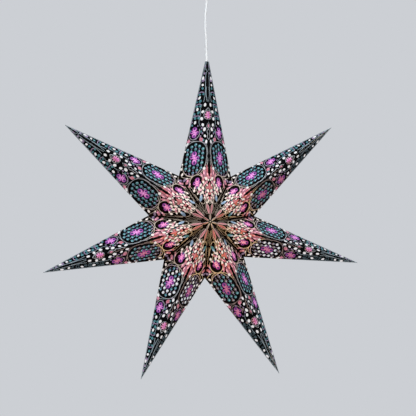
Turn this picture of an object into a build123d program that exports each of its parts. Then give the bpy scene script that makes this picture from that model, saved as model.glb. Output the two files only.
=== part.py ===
"""Paper star lantern: seven folded and glued card points round a small lamp, hung on its own cord.

Millimetres, +Z up, the front of the star towards -Y. The origin is on the ceiling, in the middle of the
ceiling rose, and the cord hangs plumb below it.
"""
import os
from math import atan2, cos, degrees, hypot, pi, radians, sin, tan

from build123d import *

os.makedirs("parts", exist_ok=True)

# Star: turns run clockwise from straight up, seen from the front. A glued star is never quite even, so each
# tip and notch strays a little from its mean radius, measured from the star's centre
star_drop = 480.0
star_shift = -8.0
half_depth = 80.0
point_names = ("top", "upper_right", "right", "lower_right", "lower_left", "left", "upper_left")
tip_turns = (1.5, 52.0, 102.0, 152.0, 202.0, 253.0, 305.5)
tip_radius = 300.0
tip_strays = (17.0, 3.0, -8.0, -4.0, -6.0, -3.0, 5.0)
notch_turns = (29.5, 77.5, 125.5, 177.5, 229.0, 280.5, 334.5)
notch_radius = 96.0
notch_strays = (9.0, 0.0, -4.0, -4.0, -4.0, 3.0, 4.0)
card = 0.4
seam_flap = 9.0
seam_flap_start = 12.0
centre_hole = 2.0

# Cord: the tube's route above the lamp is a list of (x, z) points, straight but for one slight bow
cord_diameter = 4.0
cord_fit = 0.1
tip_clearance = 0.2
cord_bow = ((0.0, -152.0), (-4.6, -109.0), (0.0, -66.0))
arc_share = 0.45

# Stop on the cord, on which the top point hangs
stop_radius = 6.0
stop_height = 9.0
stop_clearance = 0.2

# Bulb: a small opal tube lamp with a screw cap, its end a little below the star's centre
bulb_drop = 22.5
bulb_length = 78.0
bulb_radius = 10.0
bulb_bevel = 2.5
bulb_shoulder = 4.0
bulb_cap_radius = 6.9
bulb_cap_length = 19.0
bulb_button_radius = 3.5
bulb_button_height = 1.5

# Lamp holder
holder_radius = 14.0
holder_wall = 1.6
holder_cover = 22.0
holder_fit = 0.1
sleeve_clearance = 0.2
sleeve_wall = 0.4
sleeve_length = 17.0
sleeve_rim_gap = 1.5
contact_radius = 3.0
contact_height = 1.0
block_height = 8.0
block_ledge = 1.4
block_socket = 4.0
spigot_length = 1.0
cap_height = 20.0
cap_bevel = 3.0

# Cord grips with a tapered six-sided body, one on the lamp holder and one on the ceiling rose
grip_neck_radius = 4.5
grip_neck_length = 3.6
grip_sides = 6
grip_body_radius = 4.3
grip_tip_radius = 3.4
grip_length = 22.0
grip_rim_radius = 6.5
grip_rim_height = 1.5

# Ceiling rose
rose_radius = 38.0
rose_height = 26.0
rose_wall = 2.0
rose_bevel = 1.8
base_height = 5.0
base_clearance = 0.3
hub_radius = 7.0
hub_height = 9.0
hub_socket = 7.0
screw_spacing = 51.0
screw_hole_radius = 2.25

# Places worked out from the sizes above
cord_radius = cord_diameter / 2
cord_bore = cord_radius + cord_fit
standing = (Align.CENTER, Align.CENTER, Align.MIN)
hanging = (Align.CENTER, Align.CENTER, Align.MAX)
star_centre = Vector(star_shift, 0, -star_drop)
front = star_centre + Vector(0, -half_depth, 0)
back = star_centre + Vector(0, half_depth, 0)
bulb_end = star_centre.Z - bulb_drop
bulb_top = bulb_end + bulb_length
block_bottom = bulb_top + contact_height
block_top = block_bottom + block_height
holder_top = block_top + spigot_length
cap_top = holder_top + cap_height
block_radius = holder_radius - holder_wall - holder_fit
rose_bore = rose_radius - rose_wall
rose_bottom = -rose_height
hub_bottom = -base_height - hub_height


def on_star(turn, reach):
    """A point of the star's middle plane."""
    return star_centre + Vector(reach * sin(radians(turn)), 0, reach * cos(radians(turn)))


def facing_out(a, b, c, inside, inset=0.0):
    """The plane through three corners, facing away from the point inside and moved inwards by inset."""
    normal = (b - a).cross(c - a).normalized()
    if normal.dot(inside - a) > 0:
        normal = normal * -1
    return Plane(origin=a - normal * inset, z_dir=normal)


def panels(tip, notches):
    """The corners of the four card panels of one point."""
    return [(tip, notch, middle) for notch in notches for middle in (front, back)]


def folded_point(tip, notches):
    """One point of the star: a folded card sheet with a glue flap along each seam to its neighbours."""
    inside = (tip + notches[0] + notches[1] + star_centre) * 0.25
    block_size = 5 * (tip_radius + half_depth)

    with BuildPart() as hollow:
        with Locations(inside):
            Box(block_size, block_size, block_size)
        for corners in panels(tip, notches):
            split(bisect_by=facing_out(*corners, inside, card), keep=Keep.BOTTOM)

    with BuildPart() as point:
        with Locations(inside):
            Box(block_size, block_size, block_size)
        for corners in panels(tip, notches):
            split(bisect_by=facing_out(*corners, inside), keep=Keep.BOTTOM)
        add(hollow.part, mode=Mode.SUBTRACT)
        for notch in notches:
            split(bisect_by=facing_out(front, back, notch, inside), keep=Keep.BOTTOM)
        for notch in notches:
            seam = facing_out(front, back, notch, inside)
            reach = (notch - star_centre).length
            flap_step = seam_flap * hypot(reach, half_depth) / half_depth
            with BuildSketch(Plane(origin=star_centre, x_dir=notch - star_centre, z_dir=seam.z_dir)):
                with BuildLine():
                    Polyline((0, -half_depth), (reach, 0), (0, half_depth), close=True)
                make_face()
                with BuildLine():
                    Polyline(
                        (-flap_step, -half_depth),
                        (reach - flap_step, 0),
                        (-flap_step, half_depth),
                        close=True,
                    )
                make_face(mode=Mode.SUBTRACT)
                Rectangle(2 * seam_flap_start, 2 * half_depth, mode=Mode.SUBTRACT)
            extrude(amount=-card)
        with Locations(Location(star_centre, (90, 0, 0))):
            Cylinder(centre_hole, 4 * half_depth, mode=Mode.SUBTRACT)
    return point


def depth_for(radius, tip, notches):
    """How far below the tip a plumb round of this radius first fits inside the card."""
    inside = (tip + notches[0] + notches[1] + star_centre) * 0.25
    normals = [facing_out(*corners, inside).z_dir for corners in panels(tip, notches)]
    return max((radius + card - normal.X * tip.X) / normal.Z for normal in normals)


# Seven folded points, each glued to the next
tips = [on_star(turn, tip_radius + stray) for turn, stray in zip(tip_turns, tip_strays)]
notches = [on_star(turn, notch_radius + stray) for turn, stray in zip(notch_turns, notch_strays)]
tip_opening = tips[0].Z - depth_for(cord_radius + tip_clearance, tips[0], (notches[-1], notches[0]))
stop_top = tips[0].Z - depth_for(stop_radius + stop_clearance, tips[0], (notches[-1], notches[0]))

for index, name in enumerate(point_names):
    with BuildPart() as star_point:
        add(folded_point(tips[index], (notches[index - 1], notches[index])).part)
        if name == "top":
            split(bisect_by=Plane.XY.offset(tip_opening), keep=Keep.BOTTOM)
    star_point.part.label = "star_point_" + name
    export_step(star_point.part, "parts/star_point_" + name + ".step")

# Cord, from the contact block of the lamp to the hub of the rose
cord_start = block_top - block_socket
cord_end = hub_bottom + hub_socket
cord_points = [Vector(0, 0, cord_start)] + [Vector(x, 0, z) for x, z in cord_bow] + [Vector(0, 0, cord_end)]
cord_radii = []
for before, corner, after in zip(cord_points, cord_points[1:], cord_points[2:]):
    turn = (corner - before).get_angle(after - corner)
    shorter = min((corner - before).length, (after - corner).length)
    cord_radii.append(arc_share * shorter / tan(radians(turn) / 2))

with BuildPart() as cord:
    with BuildLine() as cord_line:
        FilletPolyline(*cord_points, radius=cord_radii)
    with BuildSketch(Plane(origin=cord_points[0], z_dir=(0, 0, 1))):
        Circle(cord_radius)
    sweep()
cord.part.label = "cord"
export_step(cord.part, "parts/cord.step")
cord_length = sum(edge.length for edge in cord_line.edges())
print("cord length", round(cord_length, 1), "radii", [round(radius) for radius in cord_radii])
print("cord volume over section times length", cord.part.volume / (Circle(cord_radius).area * cord_length))

# Moulded stop, clamped on the cord under the tip of the top point
with BuildPart() as cord_stop:
    with BuildSketch(Plane.XZ):
        with BuildLine():
            Polyline(
                (cord_bore, stop_top - stop_height),
                (stop_radius, stop_top - stop_height),
                (stop_radius, stop_top),
                (cord_bore, stop_top),
                close=True,
            )
        make_face()
    revolve(axis=Axis.Z)
cord_stop.part.label = "cord_stop"
export_step(cord_stop.part, "parts/cord_stop.step")


def cord_grip():
    """A cord grip that points up through the wall of a cap, with its rim under the wall at zero height."""
    body_length = grip_length - grip_neck_length
    body_lean = atan2((grip_body_radius - grip_tip_radius) * cos(pi / grip_sides), body_length)
    with BuildPart() as grip:
        Cylinder(grip_rim_radius, grip_rim_height, align=hanging)
        Cylinder(grip_neck_radius, grip_neck_length, align=standing)
        with BuildSketch(Plane.XY.offset(grip_neck_length)):
            RegularPolygon(grip_body_radius, grip_sides)
        extrude(amount=body_length, taper=degrees(body_lean))
        Cylinder(cord_bore, 4 * grip_length, mode=Mode.SUBTRACT)
    return grip


# Bulb, one sealed piece: tube with a bevelled end, shoulder, screw cap and contact button
bulb_cap_top = bulb_top - bulb_button_height
bulb_cap_bottom = bulb_cap_top - bulb_cap_length
with BuildPart() as bulb:
    with BuildSketch(Plane.XZ):
        with BuildLine():
            Polyline(
                (0, bulb_end),
                (bulb_radius - bulb_bevel, bulb_end),
                (bulb_radius, bulb_end + bulb_bevel),
                (bulb_radius, bulb_cap_bottom - bulb_shoulder),
                (bulb_cap_radius, bulb_cap_bottom),
                (bulb_cap_radius, bulb_cap_top),
                (bulb_button_radius, bulb_cap_top),
                (bulb_button_radius, bulb_top),
                (0, bulb_top),
                close=True,
            )
        make_face()
    revolve(axis=Axis.Z)
bulb.part.label = "bulb"
export_step(bulb.part, "parts/bulb.step")

# Lamp holder: shell, contact block, centre contact, threaded sleeve and cap
shell_bottom = bulb_top - holder_cover
shell_bore = holder_radius - holder_wall
with BuildPart() as lamp_shell:
    with BuildSketch(Plane.XZ):
        with BuildLine():
            Polyline(
                (shell_bore - block_ledge, shell_bottom),
                (holder_radius, shell_bottom),
                (holder_radius, holder_top),
                (shell_bore, holder_top),
                (shell_bore, block_bottom),
                (shell_bore - block_ledge, block_bottom),
                close=True,
            )
        make_face()
    revolve(axis=Axis.Z)
lamp_shell.part.label = "lamp_holder_shell"
export_step(lamp_shell.part, "parts/lamp_holder_shell.step")

with BuildPart() as contact_block:
    with Locations((0, 0, block_bottom)):
        Cylinder(block_radius, block_height, align=standing)
    with Locations((0, 0, block_top)):
        Cylinder(cord_bore, block_socket, mode=Mode.SUBTRACT, align=hanging)
contact_block.part.label = "lamp_contact_block"
export_step(contact_block.part, "parts/lamp_contact_block.step")

with BuildPart() as centre_contact:
    with Locations((0, 0, bulb_top)):
        Cylinder(contact_radius, contact_height, align=standing)
centre_contact.part.label = "lamp_centre_contact"
export_step(centre_contact.part, "parts/lamp_centre_contact.step")

sleeve_bore = bulb_cap_radius + sleeve_clearance
sleeve_rim = shell_bore - block_ledge - sleeve_rim_gap
with BuildPart() as threaded_sleeve:
    with BuildSketch(Plane.XZ):
        with BuildLine():
            Polyline(
                (sleeve_bore, block_bottom),
                (sleeve_bore, block_bottom - sleeve_length),
                (sleeve_bore + sleeve_wall, block_bottom - sleeve_length),
                (sleeve_bore + sleeve_wall, block_bottom - sleeve_wall),
                (sleeve_rim, block_bottom - sleeve_wall),
                (sleeve_rim, block_bottom),
                close=True,
            )
        make_face()
    revolve(axis=Axis.Z)
threaded_sleeve.part.label = "lamp_threaded_sleeve"
export_step(threaded_sleeve.part, "parts/lamp_threaded_sleeve.step")

cap_bore = block_radius - holder_wall
with BuildPart() as lamp_cap:
    with BuildSketch(Plane.XZ):
        with BuildLine():
            Polyline(
                (cap_bore, holder_top - spigot_length),
                (block_radius, holder_top - spigot_length),
                (block_radius, holder_top),
                (holder_radius, holder_top),
                (holder_radius, cap_top - cap_bevel),
                (holder_radius - cap_bevel, cap_top),
                (grip_neck_radius, cap_top),
                (grip_neck_radius, cap_top - holder_wall),
                (cap_bore, cap_top - holder_wall),
                close=True,
            )
        make_face()
    revolve(axis=Axis.Z)
lamp_cap.part.label = "lamp_holder_cap"
export_step(lamp_cap.part, "parts/lamp_holder_cap.step")

with BuildPart() as lamp_grip:
    with Locations((0, 0, cap_top - holder_wall)):
        add(cord_grip().part)
lamp_grip.part.label = "lamp_cord_grip"
export_step(lamp_grip.part, "parts/lamp_cord_grip.step")

# Ceiling rose: base plate with a cord hub and two screw holes, cup cover and cord grip
with BuildPart() as rose_base:
    with Locations((0, 0, 0)):
        Cylinder(rose_bore - base_clearance, base_height, align=hanging)
    with Locations((0, 0, -base_height)):
        Cylinder(hub_radius, hub_height, align=hanging)
    with Locations((0, 0, hub_bottom)):
        Cylinder(cord_bore, hub_socket, mode=Mode.SUBTRACT, align=standing)
    with GridLocations(screw_spacing, 0, 2, 1):
        Cylinder(screw_hole_radius, 4 * base_height, mode=Mode.SUBTRACT)
rose_base.part.label = "ceiling_rose_base"
export_step(rose_base.part, "parts/ceiling_rose_base.step")

with BuildPart() as rose_cover:
    with BuildSketch(Plane.XZ):
        with BuildLine():
            Polyline(
                (rose_bore, 0),
                (rose_radius, 0),
                (rose_radius, rose_bottom + rose_bevel),
                (rose_radius - rose_bevel, rose_bottom),
                (grip_neck_radius, rose_bottom),
                (grip_neck_radius, rose_bottom + rose_wall),
                (rose_bore, rose_bottom + rose_wall),
                close=True,
            )
        make_face()
    revolve(axis=Axis.Z)
rose_cover.part.label = "ceiling_rose_cover"
export_step(rose_cover.part, "parts/ceiling_rose_cover.step")

with BuildPart() as rose_grip:
    with Locations(Location((0, 0, rose_bottom + rose_wall), (180, 0, 0))):
        add(cord_grip().part)
rose_grip.part.label = "ceiling_cord_grip"
export_step(rose_grip.part, "parts/ceiling_cord_grip.step")
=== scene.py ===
# Paper star lantern: printed card points, hanging cord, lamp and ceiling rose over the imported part
import random
from math import atan2, copysign, cos, hypot, pi, radians, sin

import bmesh
import bpy
from mathutils import Matrix, Vector
from mathutils.geometry import delaunay_2d_cdt


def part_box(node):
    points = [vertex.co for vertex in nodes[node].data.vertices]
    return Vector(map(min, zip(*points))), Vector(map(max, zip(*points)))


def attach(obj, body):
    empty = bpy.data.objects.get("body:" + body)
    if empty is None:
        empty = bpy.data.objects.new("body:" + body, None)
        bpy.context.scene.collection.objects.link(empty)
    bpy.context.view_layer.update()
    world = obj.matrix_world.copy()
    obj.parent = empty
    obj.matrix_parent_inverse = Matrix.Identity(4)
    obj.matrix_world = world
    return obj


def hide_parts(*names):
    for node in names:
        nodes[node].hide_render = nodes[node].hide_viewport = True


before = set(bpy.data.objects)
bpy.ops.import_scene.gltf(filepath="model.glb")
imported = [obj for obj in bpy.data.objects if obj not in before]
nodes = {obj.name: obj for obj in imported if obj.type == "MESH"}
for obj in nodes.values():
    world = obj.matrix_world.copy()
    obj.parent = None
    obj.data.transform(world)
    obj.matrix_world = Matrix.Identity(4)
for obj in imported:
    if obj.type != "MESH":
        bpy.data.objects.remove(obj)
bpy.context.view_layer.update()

MM = 0.001

# Star sizes in millimetres, the same as the solids
STAR_CENTRE = Vector((-8.0, 0.0, -480.0))
HALF_DEPTH = 80.0
FRONT = STAR_CENTRE + Vector((0, -HALF_DEPTH, 0))
BACK = STAR_CENTRE + Vector((0, HALF_DEPTH, 0))
POINT_NAMES = ("top", "upper_right", "right", "lower_right", "lower_left", "left", "upper_left")
TIP_TURNS = (1.5, 52.0, 102.0, 152.0, 202.0, 253.0, 305.5)
TIP_REACHES = (317.0, 303.0, 292.0, 296.0, 294.0, 297.0, 305.0)
NOTCH_TURNS = (29.5, 77.5, 125.5, 177.5, 229.0, 280.5, 334.5)
NOTCH_REACHES = (105.0, 96.0, 92.0, 92.0, 92.0, 99.0, 100.0)
CARD = 0.4
SEAM_FLAP = 9.0
SEAM_FLAP_START = 12.0
CENTRE_TRIM = 1.2

# Least and most bow of a card panel in millimetres, and the faces of a glue flap's strip
PANEL_BOW = (0.5, 1.6)
BOW_PEAK = 27
FLAP_FACES = ((0, 1, 2, 3), (7, 6, 5, 4), (0, 4, 5, 1), (1, 5, 6, 2), (2, 6, 7, 3), (3, 7, 4, 0))

# One panel in millimetres, laid flat and as seen from the front: tip at the origin, ridge along x
PANEL_RIDGE = 310.5
PANEL_NOTCH = (205.4, 69.2)
SEEN_LENGTH = 300.0
SEEN_NOTCH = (212.6, 42.1)

# From the panel as seen to the flat one, then the pitch and tolerance of its cutting in millimetres
FLAT_ALONG = 1.035
FLAT_ACROSS = 1.644
FLAT_LEAN = 0.347
FILL_PITCH = 7.0
CUT_TOLERANCE = 0.01

# How far the print slides on each point, as a share of its length at the three middle stations
SLIDE_STATIONS = (0.0, 0.12, 0.55, 0.83, 0.985)
PRINT_SLIDES = {
    "top": (0.005, 0.010, -0.003),
    "upper_right": (-0.021, -0.003, -0.004),
    "right": (-0.039, -0.023, -0.015),
    "lower_right": (-0.020, -0.016, -0.016),
    "lower_left": (-0.035, -0.023, -0.014),
    "left": (-0.035, -0.019, -0.012),
    "upper_left": (-0.017, -0.008, -0.009),
}

# Colour fields of the print, each with its own ink, among them painted shade, painted lamplight and painted
# highlight colours; bare card comes last
FIELDS = (
    "black_card", "white_dot", "teal_dot", "teal_in_shade", "taupe_in_shade", "medallion_dot",
    "magenta_petal", "rose_in_shade", "plum_petal", "orchid_light", "pink_leaf", "coral_petal",
    "crimson_in_lamplit_shade", "orange_in_lamplit_shade", "blush_light", "blue_drop", "foil_line", "foil_in_lamplight",
    "tip_line", "lilac_band", "painted_bead_highlight", "bare_card",
)

# Panels that face down get painted shade and painted lamplight: their inks are swapped for darker copies at
# the tip and warmer, redder lamplit copies towards the middle, by distance from the tip
PAINTED_SHADE_PANELS = {
    ("upper_right", "second"), ("right", "second"), ("lower_right", "second"),
    ("lower_left", "first"), ("left", "first"),
}
# Darker, rosier copies of three inks: painted shade for the middle of a down-facing panel
MIDDLE_SHADE_SWAPS = {"magenta_petal": "rose_in_shade", "orchid_light": "pink_leaf", "teal_dot": "taupe_in_shade"}
PAINTED_SHADE_ZONES = (
    (0.0, {"teal_dot": "teal_in_shade", "lilac_band": "teal_in_shade"}),
    (108.0, {**MIDDLE_SHADE_SWAPS, "foil_line": "taupe_in_shade"}),
    (198.0, {**MIDDLE_SHADE_SWAPS, "foil_line": "foil_in_lamplight"}),
    (214.0, {"magenta_petal": "crimson_in_lamplit_shade", "orchid_light": "blush_light", "pink_leaf": "coral_petal",
             "coral_petal": "orange_in_lamplit_shade", "foil_line": "foil_in_lamplight", "blue_drop": "medallion_dot"}),
)

# Panels whose medallion beads are painted as white, glowing lamplight shining through, instead of teal
LAMPLIT_BEAD_PANELS = {("lower_left", "first"), ("lower_left", "second"), ("right", "second")}

# Lamplight on the card, by distance from the middle of the star in metres, and its colour
LAMPLIT_WITHIN = 0.088
UNLIT_BEYOND = 0.128
LAMP_TINT = (1.0, 0.86, 0.82, 1)


def half_width(along):
    """Width of a panel as seen from the front, from the ridge to its outer edge."""
    if along < SEEN_NOTCH[0]:
        return SEEN_NOTCH[1] * along / SEEN_NOTCH[0]
    return SEEN_NOTCH[1] * (SEEN_LENGTH - along) / (SEEN_LENGTH - SEEN_NOTCH[0])


def flat(place):
    """The place on the flat sheet of a place seen from the front."""
    return Vector((FLAT_ALONG * place.x - FLAT_LEAN * place.y, FLAT_ACROSS * place.y))


class Print:
    """The print of one panel: shapes of one colour field each, later ones over earlier ones."""

    def __init__(self, slides):
        self.shapes = []
        self.stray = random.Random(11)
        self.slides = list(zip(SLIDE_STATIONS, (0.0, *slides, 0.0)))

    def seen(self, s, f):
        """A place seen from the front: s runs from tip to centre, f from ridge to outer edge."""
        for (start, before), (end, after) in zip(self.slides, self.slides[1:]):
            if start <= s <= end:
                s += before + (after - before) * (s - start) / (end - start)
                break
        along = SEEN_LENGTH * s
        return Vector((along, f * half_width(along)))

    def shape(self, field, outline):
        """Keeps an outline of one field, its corners counterclockwise on the flat sheet."""
        corners = [flat(place) for place in outline]
        area = sum(a.x * b.y - b.x * a.y for a, b in zip(corners, corners[1:] + corners[:1]))
        self.shapes.append((FIELDS.index(field), corners if area > 0 else corners[::-1]))

    def oval_at(self, field, centre, along, across, turn=0.0, sides=12, square=2.0):
        """An oval round a place; square above 2 fills out its corners."""
        spin = Matrix.Rotation(radians(turn), 2)
        outline = []
        for step in range(sides):
            c, n = cos(2 * pi * step / sides), sin(2 * pi * step / sides)
            corner = Vector((
                along * copysign(abs(c) ** (2 / square), c), across * copysign(abs(n) ** (2 / square), n),
            ))
            outline.append(centre + spin @ corner)
        self.shape(field, outline)

    def oval(self, field, s, f, along, across, turn=0.0, sides=12):
        """An oval round a place given by s and f."""
        self.oval_at(field, self.seen(s, f), along, across, turn, sides)

    def leaf(self, field, s, f, length, width, turn=0.0, blunt=1.0):
        """A leaf with its point towards the tip; blunt below 1 rounds off its other end."""
        spin = Matrix.Rotation(radians(turn), 2)
        steps = 8
        sides = []
        for step in range(steps + 1):
            t = step / steps
            swell = sin(pi * t ** (1 / blunt)) ** 0.8 if 0 < t < 1 else 0
            sides.append((length * (t - 0.5), width / 2 * swell))
        outline = [Vector(side) for side in sides] + [Vector((x, -y)) for x, y in sides[-2:0:-1]]
        self.shape(field, [self.seen(s, f) + spin @ corner for corner in outline])

    def line(self, field, places, width):
        """A line of even width along a smooth curve through the places."""
        corners = [self.seen(*place) for place in places]
        steps = 4
        run = []
        padded = [2 * corners[0] - corners[1]] + corners + [2 * corners[-1] - corners[-2]]
        for before, start, end, after in zip(padded, padded[1:], padded[2:], padded[3:]):
            for step in range(steps):
                t = step / steps
                run.append(0.5 * (
                    2 * start + (end - before) * t + (2 * before - 5 * start + 4 * end - after) * t * t
                    + (3 * start - before - 3 * end + after) * t ** 3
                ))
        run.append(corners[-1])
        sides = []
        for index, place in enumerate(run):
            ahead = (run[min(index + 1, len(run) - 1)] - run[max(index - 1, 0)]).normalized()
            aside = Vector((-ahead.y, ahead.x)) * width / 2
            sides.append((place + aside, place - aside))
        for (a, b), (c, d) in zip(sides, sides[1:]):
            self.shape(field, [a, b, d, c])

    def bead(self, field, s, f, along=3.0, across=1.95):
        """An oval bead lying along the panel, a little out of true as printed by hand."""
        vary = self.stray.uniform
        place = self.seen(s, f) + Vector((vary(-0.5, 0.5), vary(-0.3, 0.3)))
        along *= vary(0.82, 1.16)
        across *= vary(0.84, 1.14)
        turn = 11 * f + vary(-18, 18)
        self.oval_at(field, place, along, across, turn, 10)

    def patch(self, field, *places):
        """A field with straight sides between the places."""
        self.shape(field, [self.seen(*place) for place in places])

    def flower(self, s, f, along, across, petals, turn):
        """Petals of uneven length, each with a dark eye, round a pale heart with pale streaks."""
        centre = self.seen(s, f)
        thin = min(along, across)
        ways = []
        for step in range(petals):
            angle = radians(turn + self.stray.uniform(-8, 8)) + 2 * pi * step / petals
            ways.append(Vector((along * cos(angle), across * sin(angle))) * self.stray.uniform(0.9, 1.1))
        for field, reach, long, wide in (
            ("plum_petal", 0.60, 0.44, 0.62), ("magenta_petal", 0.56, 0.38, 0.50),
            ("orchid_light", 0.46, 0.28, 0.32), ("plum_petal", 0.67, 0.24, 0.27),
        ):
            for way in ways:
                self.oval_at(field, centre + way * reach, long * max(way.length, 0.8 * thin), wide * thin,
                             atan2(way.y, way.x) * 180 / pi, 10)
        self.oval_at("magenta_petal", centre, 0.30 * along, 0.36 * across, 0, 10)
        self.oval_at("orchid_light", centre, 0.19 * along, 0.24 * across, 0, 8)


def tip_print(card):
    """Dark tip with fine foil lines, beads beside a tall black lance."""
    card.line("tip_line", ((0.012, 0.55), (0.05, 0.72), (0.09, 0.78), (0.14, 0.86)), 0.9)
    card.line("tip_line", ((0.14, 0.88), (0.20, 0.93), (0.30, 0.955), (0.42, 0.97)), 0.7)
    card.line("tip_line", ((0.108, 0.0), (0.113, 0.18), (0.13, 0.30), (0.17, 0.27), (0.24, 0.24),
                           (0.288, 0.34)), 0.8)
    card.line("tip_line", ((0.290, 0.06), (0.262, 0.13), (0.235, 0.17), (0.20, 0.16)), 0.7)
    card.line("tip_line", ((0.050, 0.30), (0.070, 0.50), (0.092, 0.42), (0.104, 0.15)), 0.8)
    card.line("tip_line", ((0.300, 0.45), (0.325, 0.52), (0.350, 0.48), (0.378, 0.50), (0.405, 0.52),
                           (0.430, 0.42)), 0.7)
    card.bead("lilac_band", 0.078, 0.55, 1.7, 1.1)
    card.bead("lilac_band", 0.118, 0.58, 2.2, 1.2)
    card.bead("lilac_band", 0.158, 0.62, 3.8, 2.0)
    card.bead("white_dot", 0.147, 0.66, 2.8, 1.5)
    for s, start in ((0.229, 0.34), (0.299, 0.5), (0.367, 0.5)):
        card.line("lilac_band", ((s + 0.004, start), (s - 0.003, 0.66), (s + 0.002, 0.94)), 1.5)
    teal = (
        (0.207, 0.58, 3.0), (0.242, 0.42, 2.5), (0.240, 0.76, 2.5), (0.281, 0.60, 3.0), (0.310, 0.58, 2.7),
        (0.309, 0.80, 2.7), (0.348, 0.64, 3.1), (0.379, 0.58, 2.8), (0.377, 0.80, 2.8), (0.283, 0.90, 2.2),
        (0.350, 0.90, 2.4), (0.415, 0.90, 2.4),
    )
    for s, f, size in teal:
        card.bead("teal_dot", s, f, 0.82 * size, 0.60 * size)
    white = (
        (0.184, 0.60, 2.2), (0.260, 0.72, 2.6), (0.327, 0.75, 2.6), (0.403, 0.76, 2.7), (0.307, 0.22, 2.6),
        (0.344, 0.36, 2.7), (0.386, 0.39, 2.7), (0.421, 0.29, 2.7),
    )
    for s, f, size in white:
        card.bead("white_dot", s, f, 1.08 * size, 0.67 * size)
    for s, f in ((0.262, 0.93), (0.330, 0.94), (0.398, 0.95), (0.425, 0.55), (0.359, 0.86)):
        card.bead("lilac_band", s, f, 1.6, 1.0)


def rosette_print(card):
    """Pink rosette on the ridge under a pointed arch, then white beads in pairs."""
    card.line("foil_line", ((0.326, 0.0), (0.338, 0.13), (0.352, 0.23), (0.368, 0.27)), 1.0)
    card.oval("foil_line", 0.368, 0.0, 8.6, 6.2, 0, 20)
    card.oval("black_card", 0.368, 0.0, 7.7, 5.3, 0, 20)
    middle = card.seen(0.369, 0.0)
    for turn in (20, 65, 110, 155):
        way = Vector((cos(radians(turn)), sin(radians(turn))))
        card.oval_at("pink_leaf", middle + Vector((4.6 * way.x, 2.7 * way.y)), 2.5, 1.35, turn, 10)
        card.oval_at("orchid_light", middle + Vector((5.2 * way.x, 3.1 * way.y)), 1.2, 0.6, turn, 8)
    card.oval_at("coral_petal", middle, 2.5, 1.9, 0, 10)
    card.leaf("magenta_petal", 0.371, 0.0, 10.0, 1.9, 0, 0.9)
    card.leaf("foil_line", 0.430, 0.0, 12.0, 5.6, 0, 0.7)
    card.leaf("black_card", 0.430, 0.0, 9.8, 4.0, 0, 0.7)
    card.leaf("pink_leaf", 0.432, 0.0, 6.4, 2.4, 0, 0.7)
    for s, f in ((0.4515, 0.20), (0.489, 0.165), (0.5235, 0.105)):
        card.bead("white_dot", s, f, 3.1, 1.75)
    card.line("foil_line", ((0.452, 0.0), (0.466, 0.08), (0.480, 0.04), (0.497, 0.06), (0.515, 0.0)), 0.8)
    card.flower(0.459, 0.69, 9.4, 5.8, 4, 12)
    card.line("foil_line", ((0.440, 0.98), (0.472, 0.95), (0.494, 0.82), (0.501, 0.68), (0.493, 0.52),
                            (0.470, 0.42), (0.445, 0.45)), 1.1)
    card.line("foil_line", ((0.488, 0.97), (0.508, 0.80), (0.511, 0.62), (0.520, 0.42)), 0.8)
    card.leaf("pink_leaf", 0.506, 0.33, 9.0, 5.4, -20, 0.8)
    card.bead("coral_petal", 0.509, 0.33, 1.8, 1.2)
    card.leaf("pink_leaf", 0.505, 0.91, 7.5, 4.6, 20, 0.8)
    card.bead("white_dot", 0.524, 0.93, 3.2, 1.9)
    for s, f in ((0.478, 0.90), (0.497, 0.60), (0.440, 0.34), (0.470, 0.30), (0.488, 0.38), (0.530, 0.20)):
        card.bead("lilac_band", s, f, 1.8, 1.1)
    for s, f in ((0.446, 0.93), (0.460, 0.36), (0.512, 0.22), (0.518, 0.60)):
        card.bead("teal_dot", s, f, 1.9, 1.2)


def medallion_print(card):
    """Large oval field of beads round a flower, with a looped line along the ridge."""
    centre = card.seen(0.616, 0.54)
    long, wide, lean, square = 30.6, 17.2, 6.2, 2.5
    bead_long, bead_wide = 27.0, 15.4
    flower_long, flower_wide = 10.8, 5.6
    pitch_along, pitch_across = 8.2, 5.4
    card.oval_at("foil_line", centre, long, wide, lean, 36, square)
    card.oval_at("black_card", centre, long - 0.9, wide - 0.8, lean, 36, square)
    spin = Matrix.Rotation(radians(lean), 2)
    for column in range(-3, 4):
        for row in range(-4, 5):
            place = Vector(((row + 0.5 * (column % 2)) * pitch_along, column * pitch_across))
            outside = abs(place.x / bead_long) ** square + abs(place.y / bead_wide) ** square > 1
            if outside or hypot(place.x / flower_long, place.y / flower_wide) < 1:
                continue
            speck = centre + spin @ (place + Vector((pitch_along / 2, 0.0)))
            card.oval_at("lilac_band", speck, 1.05, 0.85, lean, 6)
            place += Vector((card.stray.uniform(-0.6, 0.6), card.stray.uniform(-0.35, 0.35)))
            bead = centre + spin @ place
            tilt = lean + card.stray.uniform(-20, 20)
            # Painted shade and painted highlight: two beads in three get a dark shaded rim with their
            # colour shifted off it, and every bead gets a pale highlight spot on that same side
            if (column + row) % 3:
                card.oval_at("teal_in_shade", bead, 2.8, 2.2, tilt, 12)
                card.oval_at("medallion_dot", bead - Vector((0.25, 0.2)), 2.45, 1.9, tilt, 12)
            else:
                card.oval_at("teal_dot", bead, 2.5, 1.95, tilt, 12)
            card.oval_at("painted_bead_highlight", bead - Vector((0.9, 0.6)), 1.2, 0.62, lean - 20, 6)
    card.oval_at("black_card", centre, 11.4, 5.0, lean, 18)
    card.flower(0.612, 0.54, 11.6, 6.4, 4, 8)
    card.line("foil_line", ((0.528, 0.13), (0.560, 0.065), (0.595, 0.045), (0.612, 0.095), (0.629, 0.045),
                            (0.664, 0.065), (0.690, 0.11)), 0.5)
    for s, along, across in ((0.668, 2.6, 1.4), (0.640, 1.8, 1.0), (0.563, 1.8, 1.1)):
        card.oval("white_dot", s, 0.965, along, across, 11)
    card.bead("white_dot", 0.702, 0.90, 2.8, 1.8)
    for s, f in ((0.640, 0.05), (0.650, 0.10), (0.660, 0.06), (0.668, 0.13), (0.676, 0.08), (0.686, 0.05)):
        card.bead("foil_line", s, f, 1.2, 0.6)
    for s, f in ((0.703, 0.42), (0.709, 0.54), (0.710, 0.66), (0.703, 0.76)):
        card.bead("lilac_band", s, f, 1.7, 1.0)


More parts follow.
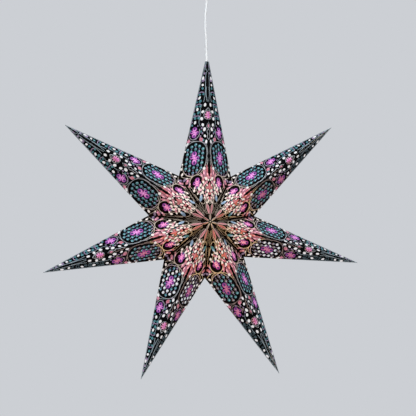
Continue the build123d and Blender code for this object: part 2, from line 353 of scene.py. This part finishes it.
def heart_print(card):
    """Leaves, an arched flower, beads, a blue drop and long petals, drawn together at the middle."""
    card.leaf("coral_petal", 0.690, 0.075, 17.0, 2.2, -2, 0.8)
    card.leaf("pink_leaf", 0.707, 0.15, 17.0, 5.0, -4, 0.8)
    card.leaf("pink_leaf", 0.728, 0.26, 12.0, 4.6, -14, 0.8)
    card.leaf("coral_petal", 0.732, 0.07, 13.0, 3.8, 0, 0.8)
    card.line("plum_petal", ((0.706, 0.14), (0.720, 0.15), (0.732, 0.16)), 0.5)
    card.line("plum_petal", ((0.722, 0.24), (0.732, 0.27), (0.742, 0.30)), 0.5)
    card.line("black_card", ((0.698, 0.105), (0.724, 0.115), (0.746, 0.12)), 0.5)
    card.line("black_card", ((0.704, 0.23), (0.722, 0.205), (0.742, 0.21)), 0.5)
    for s, f, along, across in (
        (0.714, 0.17, 2.4, 0.9), (0.733, 0.28, 2.2, 1.0), (0.724, 0.07, 2.6, 0.7), (0.741, 0.17, 1.8, 0.9),
    ):
        card.bead("blush_light", s, f, along, across)
    card.line("black_card", ((0.53, 0.0), (0.65, 0.0), (0.752, 0.0)), 1.2)
    card.bead("white_dot", 0.685, 0.17, 3.0, 2.0)
    card.line("foil_line", ((0.698, 0.82), (0.716, 0.74), (0.7245, 0.58), (0.720, 0.45), (0.706, 0.36),
                            (0.688, 0.29)), 0.8)
    card.line("foil_line", ((0.7245, 0.58), (0.732, 0.70), (0.728, 0.82), (0.716, 0.95)), 0.7)
    card.leaf("pink_leaf", 0.750, 0.82, 10.0, 4.4, 24, 0.8)
    card.leaf("lilac_band", 0.738, 0.90, 8.0, 3.4, 34, 0.8)
    card.leaf("lilac_band", 0.766, 0.80, 6.0, 2.6, 10, 0.8)
    card.bead("orchid_light", 0.746, 0.83, 2.0, 1.1)
    card.bead("plum_petal", 0.757, 0.80, 1.4, 0.8)
    card.bead("white_dot", 0.731, 0.80, 1.6, 1.1)
    card.oval("foil_line", 0.763, 0.515, 13.6, 9.9, 0, 22)
    card.oval("black_card", 0.765, 0.515, 13.1, 9.2, 0, 22)
    card.flower(0.771, 0.515, 9.4, 5.6, 4, 4)
    card.leaf("coral_petal", 0.797, 0.0, 14.0, 4.6, 0, 0.8)
    card.leaf("black_card", 0.764, 0.0, 5.0, 2.6, 0, 0.9)
    card.line("foil_line", ((0.786, 0.37), (0.822, 0.34), (0.850, 0.34), (0.884, 0.22), (0.896, 0.05)), 0.6)
    card.line("foil_line", ((0.760, 0.30), (0.800, 0.18), (0.840, 0.24), (0.870, 0.32), (0.896, 0.46)), 0.5)
    card.line("foil_line", ((0.790, 0.66), (0.830, 0.62), (0.850, 0.46), (0.884, 0.36)), 0.5)
    card.line("foil_line", ((0.834, 0.85), (0.870, 0.80), (0.895, 0.60), (0.888, 0.40)), 0.6)
    for field, s, f, along, across in (
        ("coral_petal", 0.804, 0.13, 2.8, 1.5), ("coral_petal", 0.838, 0.07, 3.4, 1.1),
        ("coral_petal", 0.868, 0.05, 4.0, 0.8), ("coral_petal", 0.758, 0.24, 3.0, 1.7),
        ("pink_leaf", 0.772, 0.13, 3.4, 1.8), ("pink_leaf", 0.790, 0.27, 3.4, 1.6),
        ("pink_leaf", 0.826, 0.20, 3.4, 1.2), ("pink_leaf", 0.822, 0.54, 3.2, 1.6),
        ("pink_leaf", 0.745, 0.22, 2.8, 1.7), ("pink_leaf", 0.744, 0.04, 2.8, 1.5),
        ("pink_leaf", 0.760, 0.90, 2.8, 1.7), ("pink_leaf", 0.780, 0.86, 2.6, 1.5),
        ("pink_leaf", 0.864, 0.22, 3.0, 0.9),
        ("blush_light", 0.778, 0.18, 1.9, 0.9), ("blush_light", 0.812, 0.42, 2.2, 1.0),
        ("blush_light", 0.848, 0.33, 2.0, 0.8), ("blush_light", 0.770, 0.80, 1.8, 0.8),
        ("teal_dot", 0.816, 0.22, 1.4, 0.7), ("teal_dot", 0.796, 0.55, 1.6, 0.9),
    ):
        card.bead(field, s, f, along, across)
    for s, f in ((0.747, 0.13), (0.768, 0.25), (0.786, 0.38), (0.804, 0.30), (0.812, 0.76), (0.824, 0.10),
                 (0.828, 0.38), (0.847, 0.17), (0.838, 0.50), (0.804, 0.50)):
        card.bead("white_dot", s, f, 3.1, 1.56)
    for s, f in ((0.757, 0.04), (0.864, 0.12), (0.881, 0.10), (0.862, 0.34), (0.797, 0.70), (0.834, 0.66),
                 (0.787, 0.10), (0.889, 0.24)):
        card.bead("white_dot", s, f, 2.1, 1.0)
    card.leaf("black_card", 0.862, 0.58, 18.0, 6.4, 12, 0.75)
    card.leaf("blue_drop", 0.861, 0.58, 12.6, 4.2, 12, 0.75)
    card.leaf("teal_dot", 0.852, 0.57, 7.0, 2.6, 12, 0.9)
    # Painted highlight on the blue drop: a pale oval and a small white spot
    card.oval("painted_bead_highlight", 0.852, 0.56, 2.6, 1.0, 14)
    card.oval("white_dot", 0.847, 0.54, 1.3, 0.6, 14)
    card.line("foil_line", ((0.850, 0.20), (0.872, 0.16), (0.890, 0.10), (0.902, 0.02)), 0.6)
    card.line("foil_line", ((0.876, 0.36), (0.892, 0.34), (0.910, 0.48), (0.934, 0.60), (0.955, 0.54)), 0.3)
    card.line("foil_line", ((0.858, 0.80), (0.880, 0.74), (0.905, 0.72), (0.932, 0.78), (0.955, 0.74)), 0.3)
    card.patch("foil_line", (0.892, 0.28), (0.911, 0.12), (0.930, 0.07), (0.946, 0.09), (0.960, 0.22),
               (0.948, 0.36), (0.930, 0.43), (0.912, 0.42))
    card.patch("pink_leaf", (0.896, 0.28), (0.912, 0.14), (0.931, 0.09), (0.945, 0.11), (0.957, 0.22),
               (0.947, 0.33), (0.930, 0.40), (0.913, 0.39))
    card.patch("coral_petal", (0.904, 0.26), (0.918, 0.20), (0.934, 0.16), (0.948, 0.18), (0.936, 0.25),
               (0.918, 0.27))
    card.patch("black_card", (0.899, 0.30), (0.916, 0.28), (0.936, 0.27), (0.917, 0.32))
    card.leaf("black_card", 0.908, 0.0, 10.0, 2.6, 0, 0.9)
    card.line("foil_line", ((0.962, 0.26), (0.975, 0.32), (0.990, 0.34)), 0.5)
    card.line("coral_petal", ((0.955, 0.02), (0.972, 0.06), (0.985, 0.10)), 0.5)
    card.line("foil_line", ((0.780, 0.93), (0.830, 0.91), (0.875, 0.88)), 0.3)
    card.line("foil_line", ((0.884, 0.86), (0.905, 0.92), (0.925, 0.87), (0.942, 0.93)), 0.3)


def cut_print(slides):
    """Cuts one flat panel into triangles, each of the topmost colour field over it."""
    card = Print(slides)
    tip_print(card)
    rosette_print(card)
    medallion_print(card)
    heart_print(card)
    notch = Vector(PANEL_NOTCH)
    middle = Vector((PANEL_RIDGE, 0))
    ground = [Vector((0, 0)), Vector((PANEL_RIDGE - CENTRE_TRIM, 0)),
              middle + (notch - middle).normalized() * CENTRE_TRIM, notch]
    spots, outlines, fields = [], [], []
    for field, outline in [(FIELDS.index("black_card"), ground)] + card.shapes:
        outlines.append(list(range(len(spots), len(spots) + len(outline))))
        spots += outline
        fields.append(field)
    for row in range(1, int(PANEL_NOTCH[1] / FILL_PITCH) + 1):
        for step in range(1, int(PANEL_RIDGE / FILL_PITCH) + 1):
            spots.append(Vector(((step + 0.5 * (row % 2)) * FILL_PITCH, row * FILL_PITCH)))
    places, _, faces, _, _, sources = delaunay_2d_cdt(spots, [], outlines, 0, CUT_TOLERANCE)
    kept = [(face, fields[max(source)]) for face, source in zip(faces, sources) if 0 in source]
    used = sorted({corner for face, _ in kept for corner in face})
    renumber = {corner: index for index, corner in enumerate(used)}
    triangles = [([renumber[corner] for corner in face], field) for face, field in kept]
    return [places[corner] for corner in used], triangles


def on_star(turn, reach):
    """A place in the star's middle plane, turned clockwise from straight up as seen from the front."""
    return STAR_CENTRE + Vector((reach * sin(radians(turn)), 0, reach * cos(radians(turn))))


def panel_mesh(sheet, tip, notch, middle, inside, bulge):
    """One printed panel in its place, bowed outwards a little, with its triangles facing outwards."""
    outward = (notch - tip).cross(middle - tip).normalized()
    if outward.dot(inside - tip) > 0:
        outward = -outward
    flat_places, flat_triangles = sheet
    corners = []
    for place in flat_places:
        to_notch = place.y / PANEL_NOTCH[1]
        to_middle = (place.x - PANEL_NOTCH[0] * to_notch) / PANEL_RIDGE
        to_tip = 1 - to_notch - to_middle
        # The three shares multiply to one over BOW_PEAK at most, so the bow is at most the bulge
        bow = BOW_PEAK * to_notch * to_middle * to_tip * bulge
        corners.append((tip * to_tip + middle * to_middle + notch * to_notch + outward * bow) * MM)
    first, second, third = [corners[index] for index in flat_triangles[0][0]]
    turned = (second - first).cross(third - first).dot(outward) < 0
    triangles = [(face[::-1] if turned else face, field) for face, field in flat_triangles]
    return corners, triangles


def panel_field(field, panel, along):
    """The number of the colour field that one panel shows for a field, at a distance from its tip."""
    # Painted lamplight: on these panels the teal medallion beads are drawn as glowing white beads
    if field == "medallion_dot" and panel in LAMPLIT_BEAD_PANELS:
        field = "white_dot"
    # Painted shade and lamplight: down-facing panels show darker and warmer copies of their inks
    elif panel in PAINTED_SHADE_PANELS:
        change = [colours for start, colours in PAINTED_SHADE_ZONES if along >= start][-1]
        field = change.get(field, field)
    return FIELDS.index(field)


def use_only(obj):
    """Selects one object and nothing else."""
    bpy.ops.object.select_all(action="DESELECT")
    obj.select_set(True)
    bpy.context.view_layer.objects.active = obj


def seam_flap_mesh(notch, inside):
    """The glue flaps of one seam, front and back, as closed strips of card."""
    outward = (FRONT - BACK).cross(notch - BACK).normalized()
    if outward.dot(inside - BACK) > 0:
        outward = -outward
    radial = (notch - STAR_CENTRE).normalized()
    reach = (notch - STAR_CENTRE).length
    step = SEAM_FLAP * hypot(reach, HALF_DEPTH) / HALF_DEPTH
    strips = []
    for side in (-1, 1):
        outline = [
            (SEAM_FLAP_START, HALF_DEPTH * (1 - SEAM_FLAP_START / reach)), (reach, 0), (reach - step, 0),
            (SEAM_FLAP_START, HALF_DEPTH * (1 - (SEAM_FLAP_START + step) / reach)),
        ]
        outer = [STAR_CENTRE + radial * r + Vector((0, side * y, 0)) for r, y in outline]
        inner = [corner - outward * CARD for corner in outer]
        strips.append([corner * MM for corner in outer + inner])
    return strips


def star_point(name, tip, notches, materials, rng):
    """One folded point: four printed panels, their card thickness and the glue flaps."""
    inside = (tip + notches[0] + notches[1] + STAR_CENTRE) * 0.25
    mesh = bpy.data.meshes.new("card_" + name)
    obj = bpy.data.objects.new("card_point_" + name, mesh)
    bpy.context.collection.objects.link(obj)
    for material in materials:
        mesh.materials.append(material)
    panel_print = cut_print(PRINT_SLIDES[name])
    corners, faces, fields = [], [], []
    for notch, side in zip(notches, ("first", "second")):
        for middle in (FRONT, BACK):
            bulge = rng.uniform(*PANEL_BOW)
            places, triangles = panel_mesh(panel_print, tip, notch, middle, inside, bulge)
            for face, field in triangles:
                faces.append([corner + len(corners) for corner in face])
                fields.append(panel_field(FIELDS[field], (name, side), panel_print[0][face[0]].x))
            corners += places
    mesh.from_pydata(corners, [], faces)
    mesh.polygons.foreach_set("material_index", fields)
    use_only(obj)
    bpy.ops.object.mode_set(mode="EDIT")
    bpy.ops.mesh.select_all(action="SELECT")
    bpy.ops.mesh.remove_doubles(threshold=2e-6)
    if name == "top":
        bpy.ops.mesh.select_all(action="SELECT")
        cut_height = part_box("star_point_top")[1].z
        bpy.ops.mesh.bisect(plane_co=(0, 0, cut_height), plane_no=(0, 0, 1), clear_outer=True)
    bpy.ops.object.mode_set(mode="OBJECT")
    thickness = obj.modifiers.new("card thickness", "SOLIDIFY")
    thickness.thickness = CARD * MM
    thickness.offset = -1
    # An offset past the last field gives the inside and the rim the bare card
    thickness.material_offset = len(FIELDS)
    thickness.material_offset_rim = len(FIELDS)
    bpy.ops.object.modifier_apply(modifier=thickness.name)
    sheet = bmesh.new()
    sheet.from_mesh(mesh)
    for notch in notches:
        for strip in seam_flap_mesh(notch, inside):
            corners = [sheet.verts.new(corner) for corner in strip]
            made = [sheet.faces.new([corners[i] for i in face]) for face in FLAP_FACES]
            bmesh.ops.recalc_face_normals(sheet, faces=made)
            for face in made:
                face.material_index = FIELDS.index("bare_card")
    sheet.to_mesh(mesh)
    sheet.free()
    use_only(obj)
    bpy.ops.object.shade_smooth_by_angle(angle=radians(20))
    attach(obj, "root")
    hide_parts("star_point_" + name)


def linear(red, green, blue):
    """A colour given by its screen values."""
    parts = []
    for value in (red, green, blue):
        value /= 255
        parts.append(value / 12.92 if value <= 0.04045 else ((value + 0.055) / 1.055) ** 2.4)
    return (*parts, 1.0)


class Nodes:
    """A material's nodes, with a few short ways to add to them."""

    def __init__(self, name):
        self.material = bpy.data.materials.new(name)
        self.material.use_nodes = True
        self.tree = self.material.node_tree
        self.shader = self.tree.nodes["Principled BSDF"]
        self.place = self.add("ShaderNodeTexCoord").outputs["Object"]

    def add(self, kind, **settings):
        node = self.tree.nodes.new(kind)
        for key, value in settings.items():
            setattr(node, key, value)
        return node

    def link(self, output, socket):
        self.tree.links.new(output, socket)

    def noise(self, scale, detail=3.0, roughness=0.55):
        node = self.add("ShaderNodeTexNoise")
        node.inputs["Scale"].default_value = scale
        node.inputs["Detail"].default_value = detail
        node.inputs["Roughness"].default_value = roughness
        self.link(self.place, node.inputs["Vector"])
        return node.outputs["Fac"]

    def span(self, value, low, high, to_low=0.0, to_high=1.0):
        node = self.add("ShaderNodeMapRange")
        self.link(value, node.inputs["Value"])
        for key, number in (("From Min", low), ("From Max", high), ("To Min", to_low), ("To Max", to_high)):
            node.inputs[key].default_value = number
        return node.outputs["Result"]

    def mix(self, share, first, second, blend="MIX"):
        node = self.add("ShaderNodeMix", data_type="RGBA", blend_type=blend)
        for value, socket in ((share, node.inputs[0]), (first, node.inputs[6]), (second, node.inputs[7])):
            if isinstance(value, (int, float, tuple)):
                socket.default_value = value
            else:
                self.link(value, socket)
        return node.outputs[2]

    def far_from(self, centre):
        node = self.add("ShaderNodeVectorMath", operation="DISTANCE")
        self.link(self.place, node.inputs[0])
        node.inputs[1].default_value = centre
        return node.outputs["Value"]

    def bump(self, height, strength, distance, after=None):
        node = self.add("ShaderNodeBump")
        node.inputs["Strength"].default_value = strength
        node.inputs["Distance"].default_value = distance
        self.link(height, node.inputs["Height"])
        if after is not None:
            self.link(after, node.inputs["Normal"])
        return node.outputs["Normal"]

    def set(self, **values):
        for key, value in values.items():
            self.shader.inputs[key.replace("_", " ")].default_value = value


def printed(name, colour, shade, warm=None, roughness=0.62, glow=0.0, far_glow=0.34, metal=0.0, gloss=0.25):
    """Ink on card: mottled colour over paper fibres, with painted lamplight: warmer and faintly glowing
    near the lamp.
    """
    kit = Nodes(name)
    mottle = kit.span(kit.noise(scale=95.0, detail=4.0), 0.32, 0.68)
    specks = kit.span(kit.noise(scale=1500.0, detail=2.0), 0.45, 0.8, 0.0, 0.35)
    tone = kit.mix(specks, kit.mix(mottle, linear(*colour), linear(*shade)), linear(*shade))
    # Painted lamplight: near the lamp the base colour turns to the warm colour
    near = kit.span(kit.far_from(STAR_CENTRE * MM), LAMPLIT_WITHIN, UNLIT_BEYOND, 1.0, 0.0)
    if warm is not None:
        tone = kit.mix(near, tone, linear(*warm))
    kit.link(tone, kit.shader.inputs["Base Color"])
    # Painted glow of lamplight through the card, stronger near the lamp
    if glow:
        lamplight = kit.mix(near, (far_glow, far_glow, far_glow, 1), LAMP_TINT)
        kit.link(kit.mix(1.0, tone, lamplight, "MULTIPLY"), kit.shader.inputs["Emission Color"])
        kit.set(Emission_Strength=glow)
    fibres = kit.bump(kit.noise(scale=900.0, detail=5.0, roughness=0.6), strength=0.25, distance=0.0002)
    waves = kit.bump(kit.noise(scale=45.0, detail=2.0), strength=0.12, distance=0.0015, after=fibres)
    kit.link(waves, kit.shader.inputs["Normal"])
    kit.set(Roughness=roughness, Metallic=metal, Specular_IOR_Level=gloss)
    return kit.material


def card_materials():
    """One ink or paper for each colour field, in the order of the fields."""
    inks = {
        # warm is each ink's colour under the painted lamplight near the lamp, glow the strength of its
        # painted glow
        "black_card": dict(colour=(7, 7, 9), shade=(3, 3, 4), warm=(16, 8, 5), roughness=0.85, gloss=0.03),
        # White dots glow strongly: painted lamplight, as if it shone through holes in the card
        "white_dot": dict(colour=(171, 171, 173), shade=(160, 160, 162), warm=(175, 171, 165), glow=1.1,
                          far_glow=0.95),
        "teal_dot": dict(colour=(82, 138, 144), shade=(54, 100, 112), glow=0.1),
        # Painted shade: a darker copy of teal, for down-facing panels and for the shaded side of beads
        "teal_in_shade": dict(colour=(54, 74, 82), shade=(36, 54, 62)),
        # Painted shade: a darker copy of teal and foil for down-facing panels
        "taupe_in_shade": dict(colour=(146, 128, 124), shade=(112, 98, 94)),
        "medallion_dot": dict(colour=(88, 150, 150), shade=(54, 108, 116), glow=0.1),
        # Painted highlight on beads and on the blue drop
        "painted_bead_highlight": dict(colour=(178, 206, 224), shade=(150, 172, 212), glow=0.1),
        "magenta_petal": dict(colour=(206, 112, 192), shade=(182, 86, 170), warm=(206, 106, 168),
                              glow=0.25),
        # Painted shade: a darker, rosier copy of magenta for down-facing panels
        "rose_in_shade": dict(colour=(196, 86, 150), shade=(172, 64, 128), glow=0.25),
        "orchid_light": dict(colour=(230, 166, 224), shade=(214, 138, 208), warm=(228, 156, 200),
                             glow=0.25),
        "plum_petal": dict(colour=(92, 48, 128), shade=(62, 34, 96), glow=0.1),
        "pink_leaf": dict(colour=(206, 144, 164), shade=(184, 114, 138), warm=(184, 126, 136), glow=0.16),
        "coral_petal": dict(colour=(194, 114, 126), shade=(172, 90, 104), warm=(176, 102, 106), glow=0.24),
        # Painted lamplight in shade: crimson and orange are redder copies of magenta and coral for the
        # middle of down-facing panels
        "crimson_in_lamplit_shade": dict(colour=(212, 84, 146), shade=(192, 62, 122), glow=0.34),
        "blush_light": dict(colour=(240, 190, 198), shade=(226, 166, 178), glow=0.34),
        "orange_in_lamplit_shade": dict(colour=(202, 110, 92), shade=(176, 86, 72), glow=0.34),
        "blue_drop": dict(colour=(152, 172, 194), shade=(112, 140, 168), glow=0.1),
        "foil_line": dict(colour=(172, 174, 178), shade=(128, 132, 138), warm=(206, 190, 172),
                          roughness=0.45, metal=0.1),
        # Painted lamplight: a warmer gold copy of the foil for down-facing panels
        "foil_in_lamplight": dict(colour=(198, 174, 136), shade=(150, 128, 96), warm=(236, 206, 158),
                          roughness=0.45, glow=0.14, metal=0.1),
        "tip_line": dict(colour=(148, 164, 172), shade=(108, 122, 130), roughness=0.45, metal=0.1),
        "lilac_band": dict(colour=(156, 138, 166), shade=(116, 100, 130), glow=0.1),
        "bare_card": dict(colour=(214, 206, 190), shade=(196, 187, 170)),
    }
    return [printed(field, **inks[field]) for field in FIELDS]


def cord_piece(material):
    """The cord's line, with the same route points as the solid."""
    route = ((0, 0, -0.4195), (0, 0, -0.152), (-0.0046, 0, -0.109), (0, 0, -0.066), (0, 0, -0.007))
    curve = bpy.data.curves.new("cord_line", "CURVE")
    curve.dimensions = "3D"
    curve.bevel_depth = 0.002
    curve.bevel_resolution = 6
    curve.resolution_u = 24
    curve.use_fill_caps = True
    spline = curve.splines.new("NURBS")
    spline.points.add(len(route) - 1)
    for point, place in zip(spline.points, route):
        point.co = (*place, 1)
    spline.order_u = 3
    spline.use_endpoint_u = True
    obj = bpy.data.objects.new("cord_line", curve)
    bpy.context.collection.objects.link(obj)
    curve.materials.append(material)
    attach(obj, "root")
    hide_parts("cord")


def moulded(name, colour, shade):
    """Moulded plastic with a fine grain and slight unevenness."""
    kit = Nodes(name)
    roughness = 0.42
    clouds = kit.span(kit.noise(scale=14.0), 0.3, 0.7)
    kit.link(kit.mix(clouds, linear(*colour), linear(*shade)), kit.shader.inputs["Base Color"])
    grain = kit.noise(scale=1200.0, detail=2.0)
    kit.link(kit.bump(grain, strength=0.06, distance=0.0001), kit.shader.inputs["Normal"])
    sheen = kit.span(kit.noise(scale=180.0), 0.3, 0.7, roughness - 0.06, roughness + 0.08)
    kit.link(sheen, kit.shader.inputs["Roughness"])
    return kit.material


def brass():
    """Brass with darker clouds and a fine grain."""
    kit = Nodes("brass")
    clouds = kit.span(kit.noise(scale=240.0), 0.3, 0.7)
    kit.link(kit.mix(clouds, linear(206, 172, 98), linear(168, 134, 70)), kit.shader.inputs["Base Color"])
    grain = kit.noise(scale=900.0)
    kit.link(kit.bump(grain, strength=0.1, distance=0.0001), kit.shader.inputs["Normal"])
    kit.set(Metallic=1.0, Roughness=0.32)
    return kit.material


def bulb_glass():
    """Opal glass below and a brass screw cap above, split by height."""
    kit = Nodes("opal_bulb")
    split = kit.add("ShaderNodeSeparateXYZ")
    kit.link(kit.place, split.inputs[0])
    cap_length, soft_edge = 0.0205, 0.0002
    glass_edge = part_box("bulb")[1].z - cap_length
    cap = kit.span(split.outputs["Z"], glass_edge - soft_edge, glass_edge + soft_edge)
    clouds = kit.span(kit.noise(scale=40.0), 0.3, 0.7)
    opal = kit.mix(clouds, linear(250, 246, 236), linear(240, 234, 220))
    kit.link(kit.mix(cap, opal, linear(190, 156, 88)), kit.shader.inputs["Base Color"])
    kit.link(cap, kit.shader.inputs["Metallic"])
    kit.link(kit.span(cap, 0, 1, 0.18, 0.35), kit.shader.inputs["Roughness"])
    kit.link(kit.mix(cap, linear(255, 236, 200), (0, 0, 0, 1)), kit.shader.inputs["Emission Color"])
    kit.set(Emission_Strength=0.6)
    return kit.material


def turned_piece(name, profile, material, node):
    """A piece turned round the plumb line from a profile of (radius, height) corners in millimetres."""
    mesh = bpy.data.meshes.new(name)
    corners = [(r * MM, 0, z * MM) for r, z in profile]
    mesh.from_pydata(corners, [(i, i + 1) for i in range(len(profile) - 1)], [])
    obj = bpy.data.objects.new(name, mesh)
    bpy.context.collection.objects.link(obj)
    mesh.materials.append(material)
    use_only(obj)
    bpy.ops.object.mode_set(mode="EDIT")
    bpy.ops.mesh.select_all(action="SELECT")
    bpy.ops.mesh.spin(steps=72, angle=2 * pi, center=(0, 0, 0), axis=(0, 0, 1))
    bpy.ops.mesh.select_all(action="SELECT")
    bpy.ops.mesh.remove_doubles(threshold=1e-6)
    bpy.ops.mesh.normals_make_consistent(inside=False)
    bpy.ops.object.mode_set(mode="OBJECT")
    bpy.ops.object.shade_smooth_by_angle(angle=radians(32))
    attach(obj, "root")
    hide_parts(node)
    return obj


def rose_cover(material):
    """Cup cover with rounded edges, a shadow line above its skirt and a low collar round the cord grip."""
    radius, wall, depth, rounding, steps = 38.0, 2.0, 26.0, 3.0, 8
    skirt = [
        (radius - wall, 0.0), (radius - 0.6, 0.0), (radius - 0.2, -0.2), (radius, -0.6), (radius, -4.0),
        (radius - 0.5, -4.3), (radius - 0.5, -4.9), (radius, -5.2),
    ]
    edge = []
    for step in range(steps + 1):
        t = radians(90 * step / steps)
        edge.append((radius - rounding + rounding * cos(t), rounding - depth - rounding * sin(t)))
    collar = [
        (9.0, -depth), (8.4, -depth - 0.5), (7.8, -depth - 0.8), (5.4, -depth - 0.8), (4.7, -depth - 0.4),
        (4.55, -depth + 0.2), (4.55, wall - depth),
    ]
    inner = [
        (radius - wall - 1.0, wall - depth), (radius - wall, wall - depth + 1.0), (radius - wall, 0.0),
    ]
    profile = skirt + edge + collar + inner
    return turned_piece("rose_cover_cup", profile, material, "ceiling_rose_cover")


def give(material, *names):
    """Gives a finish to the nodes that keep their own shape."""
    for name in names:
        node = nodes[name]
        if not node.material_slots:
            node.data.materials.append(material)
        for slot in node.material_slots:
            slot.material = material


def seen_directly(tree):
    """One for the camera's own rays and those by way of metal or glass, nought for the light in between."""
    path = tree.nodes.new("ShaderNodeLightPath")
    share = path.outputs["Is Camera Ray"]
    for name in ("Is Glossy Ray", "Is Transmission Ray"):
        both = tree.nodes.new("ShaderNodeMath")
        both.operation = "ADD"
        both.use_clamp = True
        tree.links.new(share, both.inputs[0])
        tree.links.new(path.outputs[name], both.inputs[1])
        share = both.outputs["Value"]
    return share


def soft_light(name, place, size, power, colour=(1, 1, 1)):
    """A round lamp that faces the star."""
    light = bpy.data.lights.new(name, "AREA")
    light.shape = "DISK"
    light.size = size
    light.energy = power
    light.color = colour
    obj = bpy.data.objects.new(name, light)
    obj.location = place
    obj.rotation_euler = (STAR_CENTRE * MM - Vector(place)).to_track_quat("-Z", "Y").to_euler()
    bpy.context.collection.objects.link(obj)


# Star
rng = random.Random(7)
inks = card_materials()
tips = [on_star(turn, reach) for turn, reach in zip(TIP_TURNS, TIP_REACHES)]
notches = [on_star(turn, reach) for turn, reach in zip(NOTCH_TURNS, NOTCH_REACHES)]
for index, name in enumerate(POINT_NAMES):
    star_point(name, tips[index], (notches[index - 1], notches[index]), inks, rng)

# Cord, lamp and rose
white_plastic = moulded("white_plastic", (222, 222, 218), (217, 217, 212))
grey_plastic = moulded("grey_plastic", (196, 196, 194), (188, 188, 185))
cord_white = moulded("cord_white", (216, 220, 223), (206, 210, 214))
fittings = [nodes["ceiling_rose_base"], rose_cover(white_plastic), nodes["ceiling_cord_grip"]]
cord_piece(cord_white)
give(white_plastic, "lamp_holder_shell", "lamp_holder_cap", "lamp_cord_grip", "cord_stop",
     "ceiling_cord_grip")
give(grey_plastic, "lamp_contact_block", "ceiling_rose_base")
give(brass(), "lamp_centre_contact", "lamp_threaded_sleeve")
give(bulb_glass(), "bulb")

# Floor: pale paint, lifted for the camera, that keeps its shadows
FLOOR_WIDTH = 60
FLOOR_HEIGHT = -2.0
FLOOR_LIFT = 0.6
bpy.ops.mesh.primitive_plane_add(size=FLOOR_WIDTH, location=(0, 0, FLOOR_HEIGHT))
floor = bpy.context.object
floor.name = "floor"
floor_paint = Nodes("floor_paint")
floor_clouds = floor_paint.span(floor_paint.noise(scale=3.0), 0.3, 0.7)
floor_tone = floor_paint.mix(floor_clouds, linear(244, 245, 246), linear(240, 241, 243))
floor_paint.link(floor_tone, floor_paint.shader.inputs["Base Color"])
floor_paint.set(Roughness=0.9)
floor_pale = floor_paint.add("ShaderNodeEmission")
floor_pale.inputs["Color"].default_value = linear(229, 231, 235)
floor_lift = floor_paint.add("ShaderNodeMath", operation="MULTIPLY")
floor_lift.inputs[1].default_value = FLOOR_LIFT
floor_paint.link(seen_directly(floor_paint.tree), floor_lift.inputs[0])
floor_look = floor_paint.add("ShaderNodeMixShader")
floor_paint.link(floor_lift.outputs["Value"], floor_look.inputs["Fac"])
floor_paint.link(floor_paint.shader.outputs["BSDF"], floor_look.inputs[1])
floor_paint.link(floor_pale.outputs["Emission"], floor_look.inputs[2])
floor_paint.link(floor_look.outputs["Shader"], floor_paint.tree.nodes["Material Output"].inputs["Surface"])
floor.data.materials.append(floor_paint.material)

# Light: a pale surround for the camera, even ambient light for the rest
world = bpy.data.worlds.new("studio")
bpy.context.scene.world = world
world.use_nodes = True
tree = world.node_tree
tree.nodes.clear()
surround = tree.nodes.new("ShaderNodeBackground")
surround.inputs["Color"].default_value = linear(204, 207, 212)
ambient = tree.nodes.new("ShaderNodeBackground")
ambient.inputs["Color"].default_value = (1.0, 1.0, 1.0, 1.0)
ambient.inputs["Strength"].default_value = 0.34
choose = tree.nodes.new("ShaderNodeMixShader")
output = tree.nodes.new("ShaderNodeOutputWorld")
tree.links.new(seen_directly(tree), choose.inputs["Fac"])
tree.links.new(ambient.outputs[0], choose.inputs[1])
tree.links.new(surround.outputs[0], choose.inputs[2])
tree.links.new(choose.outputs[0], output.inputs["Surface"])

soft_light("key", (-0.4, -2.1, 1.7), 1.4, 88, (0.90, 0.96, 1.0))
soft_light("fill", (-0.1, -2.0, -1.8), 1.6, 25, (1.0, 0.66, 0.46))
soft_light("back", (0.6, 2.4, 0.9), 1.6, 34)
soft_light("top", (0.0, 0.2, 2.2), 3.0, 12)

# Camera at the photograph's viewing angle: 10 degrees to the left of the front and 6.9 degrees below
IMAGE_SIZE = 416
MIDDLE_PIXEL = (210.4, 221.6)
SENSOR_WIDTH = 36
turn, rise, away, focal = radians(-10), radians(-6.9), 2.9, 1666.0
view = Vector((-sin(turn) * cos(rise), cos(turn) * cos(rise), -sin(rise)))
right = Vector((cos(turn), sin(turn), 0))
up = right.cross(view)
camera_data = bpy.data.cameras.new("camera")
camera_data.sensor_width = SENSOR_WIDTH
camera_data.lens = SENSOR_WIDTH * focal / IMAGE_SIZE
camera = bpy.data.objects.new("camera", camera_data)
bpy.context.collection.objects.link(camera)
pixels_right = MIDDLE_PIXEL[0] - IMAGE_SIZE / 2
pixels_down = MIDDLE_PIXEL[1] - IMAGE_SIZE / 2
camera.location = FRONT * MM - away * (view + right * pixels_right / focal - up * pixels_down / focal)
camera.rotation_euler = Matrix((right, up, -view)).transposed().to_euler()
bpy.context.scene.camera = camera

bpy.context.scene.view_settings.view_transform = "Standard"
